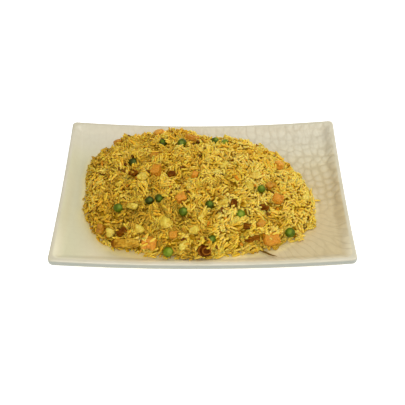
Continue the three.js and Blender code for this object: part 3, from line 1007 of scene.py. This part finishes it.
def drop(ground, size, rounds, batch, seed, most=100000, ceiling=ceiling, where=~topping_heart):
    """Lets pieces of one size settle one by one, where the heap still lacks height."""
    random = np.random.default_rng(seed)
    settled = []
    for _ in range(rounds):
        lack = np.where(where, np.clip(ceiling - ground, 0.0, DEEPEST_LACK), 0.0)
        lack = lack * steep * (within > 0.3)
        chance = lack.ravel() / lack.sum()
        for pick in random.choice(chance.size, batch, p=chance):
            row, column = divmod(int(pick), len(map_x))
            varied = float(np.clip(random.normal(1.0, size["spread"]), *LENGTHS))
            radius = size["radius"] * random.uniform(*THICKNESSES)
            yaw = grain_way[row, column] + random.normal(0.0, YAW_SPREAD)
            grain = Falling(map_x[column], map_y[row], yaw, size["length"] * varied, radius)
            if random.random() > STRAYS and grain.hangs_out():
                continue
            slanted = random.random() < size["slanted"]
            if slanted:
                grain.stick_in(ground, random)
            else:
                grain.lie_down(ground)
            if grain.stands_proud(ceiling, slanted):
                continue
            grain.stamp(ground)
            settled.append((grain.x, grain.y, grain.z, yaw, math.atan(grain.slope),
                            grain.length, radius))
            if len(settled) == most:
                return settled
    return settled


core_top = np.where(core_shows, core_room, dish)
ground = np.maximum(core_top, dish + 0.05 * MM)
under_toppings = np.minimum(goal, topping_bottom) - PROUD
grains = drop(ground, GRAIN, 6, 300, 4, ceiling=under_toppings, where=topping_bottom < 1.0)
ground = np.maximum(ground, topping_top)
grains += drop(ground, GRAIN, 12, BATCH, 5)
crumbs_lie = ~topping_heart & (far_in > 0.5)
crumbs = {kind: drop(ground, CRUMB, 4, batch, seed, most, where=crumbs_lie)
          for kind, batch, seed, most in (("egg", 150, 61, 150), ("meat", 100, 62, 100),
                                          ("carrot", 60, 63, 30))}
grains += drop(ground, GRAIN, 30, BATCH, 6)
crumbs["meat"] += drop(ground, FLECK, 4, 80, 64, 60, where=crumbs_lie)
grains += drop(ground, GRAIN, 46, BATCH, 7)
bare = np.mean((ground - core_top)[thick > 3.0 * MM] < 0.5 * MM)
print("grains:", len(grains), "crumbs:", {kind: len(rows) for kind, rows in crumbs.items()},
      "share of the core that shows:", round(float(bare), 3))

# %% [markdown]
# ## Joining the grains
# Thousands of objects would be slow to handle, so the grains of one colour are joined in one
# mesh. Each is drawn a little thicker than it was when it settled, so that neighbours stick
# together as the real ones do. Every grain gets its own cell of the UV map and one number,
# its tint, which the material turns into the small differences between grains: some took
# more oil and spice, some stayed pale, and some caught on the hot pan. Neighbours are alike,
# because a spoonful of rice browns together: a smooth map of tone decides which colour is
# likely where. The same map is darker towards the left and front and lighter towards the
# right and back, which is painted light and shade: the window lights the heap from the right.

# %% Joined grains
STICKY = 1.14


def turned(points, yaw, pitch, roll):
    """Points of many shapes, turned about X by roll, up by pitch and round by yaw."""
    x, y, z = points[..., 0], points[..., 1], points[..., 2]
    yaw, pitch, roll = (a[:, None] for a in (yaw, pitch, roll))
    y, z = y * np.cos(roll) - z * np.sin(roll), y * np.sin(roll) + z * np.cos(roll)
    x, z = x * np.cos(pitch) - z * np.sin(pitch), x * np.sin(pitch) + z * np.cos(pitch)
    x, y = x * np.cos(yaw) - y * np.sin(yaw), x * np.sin(yaw) + y * np.cos(yaw)
    return np.stack([x, y, z], axis=-1)


def joined(name, points, faces, uv, tints):
    """One mesh from many shapes with the same faces, each in its own UV cell."""
    count, size = points.shape[:2]
    mesh = bpy.data.meshes.new(name)
    all_faces = [tuple(i + k * size for i in face) for k in range(count) for face in faces]
    mesh.from_pydata(points.reshape(-1, 3), [], all_faces)
    side = math.ceil(math.sqrt(count))
    corner = np.stack([np.arange(count) % side, np.arange(count) // side], axis=-1)
    spread = (corner[:, None, :] + 0.06 + 0.88 * uv[None, :, :]) / side
    layer = mesh.uv_layers.new(name="OFBake")
    layer.data.foreach_set("uv", spread.ravel())
    add_values(mesh, "tint", np.repeat(tints, size))
    return mesh


def settled_mesh(name, shapes, rows, seed):
    """The mesh of all settled pieces in these rows."""
    random = np.random.default_rng(seed)
    variations, faces, uv = shapes
    x, y, z, yaw, pitch, length, radius = np.array(rows).T
    points = variations[random.integers(0, VARIATIONS, len(rows))].copy()
    points[..., 0] *= length[:, None]
    points[..., 1:] *= STICKY * radius[:, None, None]
    points = turned(points, yaw, pitch, random.uniform(0.0, 2.0 * math.pi, len(rows)))
    points += np.stack([x, y, z], axis=-1)[:, None, :]
    # The tint takes the map's random tone and its painted light and shade.
    tints = 0.5 + 0.3 * (random.random(len(rows)) - 0.5) + 0.2 * map_value(tone_and_light_map, x, y)
    return joined(name, points, faces, uv, tints)


def rice_look(name, *stops):
    look = Look(name, Specular_IOR_Level=0.1, Subsurface_Weight=0.8,
                Subsurface_Radius=(1.0, 0.8, 0.4), Subsurface_Scale=2.4 * MM)
    shade = look.attribute("tint") * 0.7 + look.noise(170.0) * 0.7 - 0.2
    return look.dress(look.ramp(shade, *stops), (500.0, 0.25, 0.4), (900.0, 2.0, 0.08 * MM))


print("grains are drawn", STICKY, "times as thick as they settled")

# %% Which grain has which colour
# Spoonfuls of rice: their middle, width and depth in millimetres, and their tone.
SPOONFULS = ((8, -25, 58, 26, 0.8), (-42, -50, 22, 15, -2.0), (-92, 8, 18, 20, 1.1),
             (-82, -62, 14, 12, 1.2), (-8, 18, 15, 14, 0.9), (30, -40, 26, 12, 0.7),
             (-78, -32, 12, 13, -0.9), (-49, -18, 12, 12, 1.1))
SPICED = ((76, 26), (57, 36), (-22, 68), (-92, -44))
SPICED_SIZE = 15
# A colour of rice: its share, how much likelier it is where the rice is light, and its ramp.
RICE_KINDS = {
    "rice_golden": (0.36, 0.2, ((0.0, 218, 173, 42), (0.5, 232, 193, 66), (1.0, 240, 206, 98))),
    "rice_amber": (0.24, 0.0, ((0.0, 212, 160, 34), (0.5, 229, 178, 50), (1.0, 238, 194, 76))),
    "rice_pale": (0.2, 1.0, ((0.0, 229, 182, 54), (0.5, 239, 197, 76), (1.0, 246, 210, 102))),
    "rice_toasted": (0.2, -1.0, ((0.0, 180, 138, 34), (0.5, 200, 160, 50), (1.0, 218, 180, 72))),
}

tone_and_light_map = 0.35 * cloud(5.0 * MM, 33) + 0.9 * cloud(2.4 * MM, 34)
# Painted light and shade: darker towards the left and front, lighter to the right and back.
tone_and_light_map += 0.1 + 15.0 * map_x[None, :] + 3.0 * map_y[:, None]
for *spot, tone in SPOONFULS:
    tone_and_light_map += tone * soft_spot(*spot)
spiced = sum(soft_spot(x, y, SPICED_SIZE, SPICED_SIZE) for x, y in SPICED)

grain_x, grain_y = np.array(grains).T[:2]
grain_tone_and_light = map_value(tone_and_light_map, grain_x, grain_y)
grain_spice = 1.0 + 5.0 * map_value(spiced, grain_x, grain_y)
# Darker kinds are likelier where the map is darker, its painted shade included.
weights = np.array([share * np.exp(1.3 * lean * grain_tone_and_light)
                    * (grain_spice if name == "rice_amber" else 1.0)
                    for name, (share, lean, _) in RICE_KINDS.items()])
steps = np.cumsum(weights / weights.sum(axis=0), axis=0)
kind_of = (np.random.default_rng(8).random(len(grains)) > steps).sum(axis=0)
rice_finishes = {}
for number, (name, (_, _, stops)) in enumerate(RICE_KINDS.items()):
    rows = [row for row, kind in zip(grains, kind_of) if kind == number]
    rice_finishes[name] = rice_look(name, *stops)
    finished_piece(name, settled_mesh(name, GRAIN_SHAPES, rows, 40 + number),
                   rice_finishes[name], ["rice_heap"])

# %% Crumbs between the grains
# The stops are the colours of dry, usual and moist crumbs of each kind.
CRUMB_STOPS = {
    "egg": ((0.0, 208, 166, 36), (0.5, 228, 196, 62), (1.0, 238, 214, 104)),
    "meat": ((0.0, 78, 42, 2), (0.5, 112, 66, 6), (1.0, 150, 100, 20)),
    "carrot": ((0.0, 186, 112, 12), (0.5, 210, 138, 26), (1.0, 226, 160, 50)),
}
for number, (kind, rows) in enumerate(crumbs.items()):
    name = kind + "_crumbs"
    finished_piece(name, settled_mesh(name, CRUMB_SHAPES, rows, 50 + number),
                   rice_look(name, *CRUMB_STOPS[kind]), ["rice_heap"])

# %% [markdown]
# ## Shaping soft, cut pieces
# Every piece of carrot, egg and meat lies where its solid lies. A solid has few faces, so a
# copy of it is joined at its seams, rounded by a fine voxel remesh, and then moved along its
# normals by noise: a little for firm carrot, a lot for egg curds. The amount of the move is
# kept as a number for each point, so that the material can paint shade into creases and
# hollows, and paint the crests of meat fibres lighter.

# %% Piece shapes
def worn_copy(name, voxel, smoothing):
    """The shape of a solid as an even net of small faces, with its edges worn round."""
    bm = bmesh.new()
    bm.from_mesh(NODES[name].data)
    bmesh.ops.remove_doubles(bm, verts=bm.verts, dist=0.01 * MM)
    bmesh.ops.dissolve_limit(bm, angle_limit=math.radians(4.0), verts=bm.verts, edges=bm.edges)
    mesh = as_mesh(bm, name)
    work = put_in_scene("work", mesh)
    voxels = work.modifiers.new("voxels", "REMESH")
    voxels.mode = "VOXEL"
    voxels.voxel_size = voxel
    worn = work.modifiers.new("worn", "SMOOTH")
    worn.factor = 0.5
    worn.iterations = smoothing
    bpy.context.view_layer.update()
    evaluated = work.evaluated_get(bpy.context.evaluated_depsgraph_get())
    result = bpy.data.meshes.new_from_object(evaluated)
    bpy.data.objects.remove(work)
    bpy.data.meshes.remove(mesh)
    return result


def move_out(mesh, distances):
    """Moves every point along its normal, and gives the new points."""
    points = mesh_points(mesh) + mesh_points(mesh, "normal") * distances[:, None]
    set_points(mesh, points)
    return points


def noise_at(points, size, seed, octaves=1):
    """Smooth noise, about -1 to 1, with features of this size in metres."""
    offset = Vector((seed * 1.7, seed * 0.9, seed * 2.3))
    places = [Vector(p) + offset for p in points / size]
    if octaves == 1:
        return np.array([noise.noise(p) for p in places])
    return np.array([noise.fractal(p, 0.8, 2.1, octaves) for p in places])


def long_way(points):
    """The direction in which a piece is longest."""
    centred = points - points.mean(axis=0)
    return np.linalg.eigh(centred.T @ centred)[1][:, -1]


def joined_pieces(name, kind, shape, seed):
    """Shapes all pieces of a kind and joins them, with the numbers of their points."""
    shaped = [shape(piece, seed + k) for k, piece in enumerate(PIECES[kind])]
    bm = bmesh.new()
    for mesh, _ in shaped:
        bm.from_mesh(mesh)
        bpy.data.meshes.remove(mesh)
    whole = as_mesh(bm, name)
    for key in shaped[0][1]:
        add_values(whole, key, np.concatenate([values[key] for _, values in shaped]))
    return whole


print("pieces to shape:", sum(len(names) for names in PIECES.values()))

# %% [markdown]
# ## Peas
# A cooked pea is a slightly flattened ball with a shallow dimple, a skin that has wrinkled
# in the heat, and a gloss of oil. Its solid is a ball of few faces, so a finer one takes its
# place and size. Some peas are deep olive and some are bright: each has its own tone. The
# dimple faces up and to the front and is painted paler, a painted highlight, and the
# wrinkles' creases are painted darker as shade.

# %% Making the peas
PEA_TONES = dict(zip(PIECES["pea"], (0.2, 0.45, 0.4, 0.9, 0.0, 0.55, 0.05, 0.25, 0.5, 0.45,
                                     0.3, 0.7, 0.5, 0.8, 0.4)))


def pea_shape(name, seed):
    low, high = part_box(name)
    random = np.random.default_rng(seed)
    bm = bmesh.new()
    bmesh.ops.create_icosphere(bm, subdivisions=4, radius=max(high - low) / 2)
    mesh = as_mesh(bm, name)
    points = mesh_points(mesh)
    ways = points / np.linalg.norm(points, axis=1).max()
    wrinkle = 1.0 - np.abs(noise_at(points, 1.9 * MM, seed, 3))
    # The dimple faces up and to the front, towards the light, and carries a painted highlight.
    dimple_and_highlight_way = random.normal((0.3, -0.9, 1.3), 0.4)
    dimple_and_highlight_way /= np.linalg.norm(dimple_and_highlight_way)
    dimple = smoothstep((ways @ dimple_and_highlight_way - 0.8) / 0.2)
    sag = 0.05 * noise_at(ways, 0.9, seed + 50)
    scale = 1.0 + sag - 0.11 * dimple - 0.028 * (wrinkle - 0.5)
    points *= (scale * 0.985)[:, None]
    points[:, 2] *= random.uniform(0.9, 0.98)
    set_points(mesh, points + np.array((low + high) / 2))
    tone = np.full(len(points), PEA_TONES[name])
    return mesh, {"wrinkle": wrinkle, "dimple": dimple, "tone": tone}


def pea_look():
    look = Look("pea_skin", Specular_IOR_Level=0.16, Coat_Weight=0.03, Coat_Roughness=0.2)
    tone = look.attribute("tone") + look.noise(300.0, 2.0) * 0.7 - 0.42
    # Painted highlight: the dimple is paler.
    tone = tone + look.attribute("dimple") * 0.45
    colour = look.ramp(tone, (0.0, 52, 58, 0), (0.35, 74, 90, 0), (0.65, 98, 120, 12),
                       (1.0, 134, 148, 36))
    # Painted shade: the wrinkles' creases are darker.
    crease_shade = look.attribute("wrinkle").between(0.35, 0.0)
    colour = look.mix(crease_shade * 0.4, colour, (52, 66, 6))
    return look.dress(colour, (400.0, 0.2, 0.32), (700.0, 3.0, 0.15 * MM))


pea_mesh = joined_pieces("peas", "pea", pea_shape, 100)
finished_piece("peas", pea_mesh, pea_look(), PIECES["pea"])

# %% [markdown]
# ## Carrot
# Diced carrot keeps its cut faces, though cooking rounds the edges and leaves the faces
# slightly sunk. Noise makes each die a little blotchy. The tone of each piece says how bright
# it is: a few have taken on the colour of the rice.

# %% Making the carrots
CARROT_TONES = dict(zip(PIECES["carrot"], (0.95, 0.5, 0.6, 0.35, 0.65, 0.7, 0.7, 0.4, 0.65,
                                           0.75, 0.95, 0.75, 0.55, 0.5, 0.2)))
CARROT_VOXEL = 0.42 * MM


def carrot_shape(name, seed):
    mesh = worn_copy(name, CARROT_VOXEL, 30)
    points = mesh_points(mesh)
    uneven = noise_at(points, 3.4 * MM, seed, 3)
    fine = noise_at(points, 1.1 * MM, seed + 9)
    move_out(mesh, 1.0 * MM * uneven + 0.15 * MM * fine - 0.1 * MM)
    return mesh, {"uneven": uneven, "tone": np.full(len(points), CARROT_TONES[name])}


def carrot_look():
    look = Look("carrot_flesh", Specular_IOR_Level=0.25, Subsurface_Weight=0.3,
                Subsurface_Radius=(1.0, 0.45, 0.15), Subsurface_Scale=1.5 * MM)
    tone = look.attribute("tone") + look.noise(230.0) * 0.6 - 0.3
    colour = look.ramp(tone, (0.0, 168, 110, 12), (0.4, 194, 138, 28), (0.75, 210, 140, 32),
                       (1.0, 226, 164, 56))
    # Painted shade: the sunk hollows of the faces are darker.
    hollow_shade = look.attribute("uneven").between(-0.1, -0.5)
    colour = look.mix(hollow_shade * 0.45, colour, (160, 90, 4))
    return look.dress(colour, (350.0, 0.25, 0.3), (800.0, 3.0, 0.2 * MM))


carrot_mesh = joined_pieces("carrots", "carrot", carrot_shape, 200)
finished_piece("carrots", carrot_mesh, carrot_look(), PIECES["carrot"])

# %% [markdown]
# ## Egg
# Scrambled egg is torn into soft curds: knobbly and folded, with creases painted darker as
# shade, and dried and browned in places. The lumps get wide swells, smaller folds and a fine
# crumb, all from noise at three sizes. Folds come from the absolute value of noise, which has
# sharp valleys, and the crumb is left to the bump.

# %% Making the egg
EGG_VOXEL = 0.42 * MM


def egg_shape(name, seed):
    mesh = worn_copy(name, EGG_VOXEL, 3)
    points = mesh_points(mesh)
    fold = np.abs(noise_at(points, 4.6 * MM, seed, 2))
    torn = noise_at(points, 6.5 * MM, seed + 7)
    crest = (1.8 * fold + 1.6 * torn - 0.6) * MM
    move_out(mesh, crest)
    return mesh, {"crest": crest / MM}


def egg_look():
    look = Look("egg_curd", Specular_IOR_Level=0.22, Subsurface_Weight=0.35,
                Subsurface_Radius=(1.0, 0.8, 0.35), Subsurface_Scale=1.5 * MM)
    colour = look.ramp(look.noise(190.0), (0.32, 200, 168, 48), (0.5, 216, 190, 68),
                       (0.7, 229, 209, 104))
    # Painted shade: the creases between the folds are darker.
    crease_shade = look.attribute("crest").between(0.1, -0.7)
    colour = look.mix(crease_shade * 0.35, colour, (204, 160, 30))
    browned = look.noise(120.0, 4.0).between(0.58, 0.72)
    colour = look.mix(browned * 0.3, colour, (200, 144, 30))
    return look.dress(colour, (300.0, 0.25, 0.38), (700.0, 2.0, 0.12 * MM))


egg_mesh = joined_pieces("egg_curds", "egg", egg_shape, 300)
finished_piece("egg_curds", egg_mesh, egg_look(), PIECES["egg"])

# %% [markdown]
# ## Meat
# The meat was cut in short strips and fried brown. Its fibres run along each strip, so the
# noise that frays it is stretched in that direction. The fibres' valleys are painted darker
# and their crests lighter, painted shade and highlight. One long strip at the front left
# stayed pale; it is browner at its left end and painted darker underneath, as shade. One
# piece at the front is nearly black-red and curled up, so its ridges run round it.

# %% Making the meat
MEAT_TONES = dict(zip(PIECES["meat"], (0.85, 0.2, 0.4, 0.3, 0.3, 0.35, 0.35, 0.45, 0.45)))
MEAT_VOXEL = 0.38 * MM
STRIP = "meat_1"
STRIP_END = 8.0 * MM
STRIP_SHADED_UNDERSIDE = 5.0 * MM
CURL = "meat_2"
CURL_STEP = 2.5 * MM
CURL_MIDDLE = np.array((2.0, -1.0, 1.0)) * MM


def tapered(points, way):
    """Draws a strip thinner towards both of its torn ends."""
    centred = points - points.mean(axis=0)
    along = centred @ way
    across = centred - along[:, None] * way
    thinner = 0.5 * smoothstep(np.abs(along) / np.abs(along).max() * 2.5 - 1.5)
    return points - across * thinner[:, None]


def strip_shade(points):
    """How much darker a strip is: browner at its left end, and painted shade underneath."""
    from_end = (points[:, 0] - points[:, 0].min()) / STRIP_END
    from_below = (points[:, 2] - points[:, 2].min()) / STRIP_SHADED_UNDERSIDE
    return 0.42 * (1.0 - smoothstep(from_end)) + 0.4 * (1.0 - smoothstep(from_below))


def curl_rings(points):
    """Ridges that run round the middle of the curled piece."""
    from_middle = (points - points.mean(axis=0) - CURL_MIDDLE) * (0.8, 1.0, 1.0)
    return np.sin(2.0 * math.pi * np.linalg.norm(from_middle, axis=1) / CURL_STEP)


def meat_shape(name, seed):
    mesh = worn_copy(name, MEAT_VOXEL, 20)
    points = mesh_points(mesh)
    way = long_way(points)
    drawn_along = points @ (np.eye(3) - 0.78 * np.outer(way, way))
    fibre = noise_at(drawn_along, 1.3 * MM, seed, 3)
    uneven = noise_at(points, 4.5 * MM, seed + 5, 2)
    if name == CURL:
        fibre = 0.4 * fibre + curl_rings(points)
    moved = move_out(mesh, 0.5 * MM * fibre + 1.5 * MM * uneven + 0.1 * MM)
    tone = np.full(len(points), MEAT_TONES[name])
    if name == STRIP:
        set_points(mesh, tapered(moved, way))
        # The strip is browner at its left end and has painted shade underneath.
        tone -= strip_shade(mesh_points(mesh))
    return mesh, {"fibre": fibre, "tone": tone}


def meat_look(name, *stops):
    look = Look(name, Specular_IOR_Level=0.05)
    tone = look.attribute("tone") + look.noise(300.0) * 0.8 - 0.43
    fibre = look.attribute("fibre")
    # Painted shade: the valleys between the fibres are darker.
    colour = look.mix(fibre.between(0.0, -0.5) * 0.6, look.ramp(tone, *stops), (80, 36, 0))
    # Painted highlight: the crests of the fibres, and the curl's ridges, are lighter.
    colour = look.mix(fibre.between(0.15, 0.7) * 0.42, colour, (178, 114, 28))
    return look.dress(colour, (350.0, 0.25, 0.35), (800.0, 3.0, 0.2 * MM))


meat_mesh = joined_pieces("meat_strips", "meat", meat_shape, 400)
meat_finish = meat_look("meat_browned", (0.0, 70, 22, 0), (0.3, 106, 56, 0), (0.55, 144, 88, 4),
                        (0.8, 198, 150, 40), (1.0, 218, 176, 66))
finished_piece("meat_strips", meat_mesh, meat_finish, PIECES["meat"])

# %% [markdown]
# ## What fell beside the heap
# At the front right a thin browned sliver has slid onto the dish, and one grain lies alone
# at the right. The sliver is a ball drawn out to a spindle, bent and twisted. The grain is
# one of the grain shapes, laid where its solid lies.

# %% The sliver and the grain
def lies_along(name):
    """Middle, direction and length of a slim solid."""
    points = mesh_points(NODES[name].data)
    way = long_way(points)
    way = way if way[0] > 0 else -way
    low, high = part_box(name)
    return np.array((low + high) / 2), way, float(np.ptp(points @ way))


def frame_along(way):
    side = np.cross((0.0, 0.0, 1.0), way)
    side /= np.linalg.norm(side)
    return np.stack([way, side, np.cross(way, side)])


def sliver_mesh():
    middle, way, length = lies_along("loose_sliver")
    bm = bmesh.new()
    bmesh.ops.create_uvsphere(bm, u_segments=12, v_segments=30, radius=1.0)
    for vert in bm.verts:
        x, y, z = vert.co
        thick_here = (0.55 + 0.45 * z) * 0.9 + 0.35
        vert.co = Vector((-z * length / 2, x * 0.95 * MM * thick_here + 0.5 * MM * (z * z - 0.4),
                          y * 0.8 * MM * thick_here + 0.2 * MM * math.sin(5.0 * z)))
    mesh = as_mesh(bm, "loose_sliver_browned")
    points = mesh_points(mesh)
    fibre = noise_at(points * (0.25, 1.0, 1.0), 0.9 * MM, 77, 3)
    points[:, 1:] *= (1.0 + 0.25 * fibre)[:, None]
    set_points(mesh, points @ frame_along(way) + middle)
    add_values(mesh, "fibre", fibre)
    add_values(mesh, "tone", 0.5 + 0.25 * points[:, 0] / length)
    return mesh


def lone_grain_mesh():
    middle, way, length = lies_along("loose_grain")
    variations, faces, uv = GRAIN_SHAPES
    points = variations[3] * (length, GRAIN["radius"], GRAIN["radius"])
    points = points @ frame_along(way) + middle
    return joined("loose_grain_golden", points[None], faces, uv, np.array([0.7]))


# The sliver's fibres also take painted shade in their valleys and a painted highlight on their
# crests.
sliver_finish = meat_look("sliver_browned", (0.2, 92, 66, 12), (0.5, 120, 92, 34),
                          (0.8, 150, 122, 62))
finished_piece("loose_sliver_browned", sliver_mesh(), sliver_finish, ["loose_sliver"])
finished_piece("loose_grain_golden", lone_grain_mesh(), rice_finishes["rice_pale"],
               ["loose_grain"])
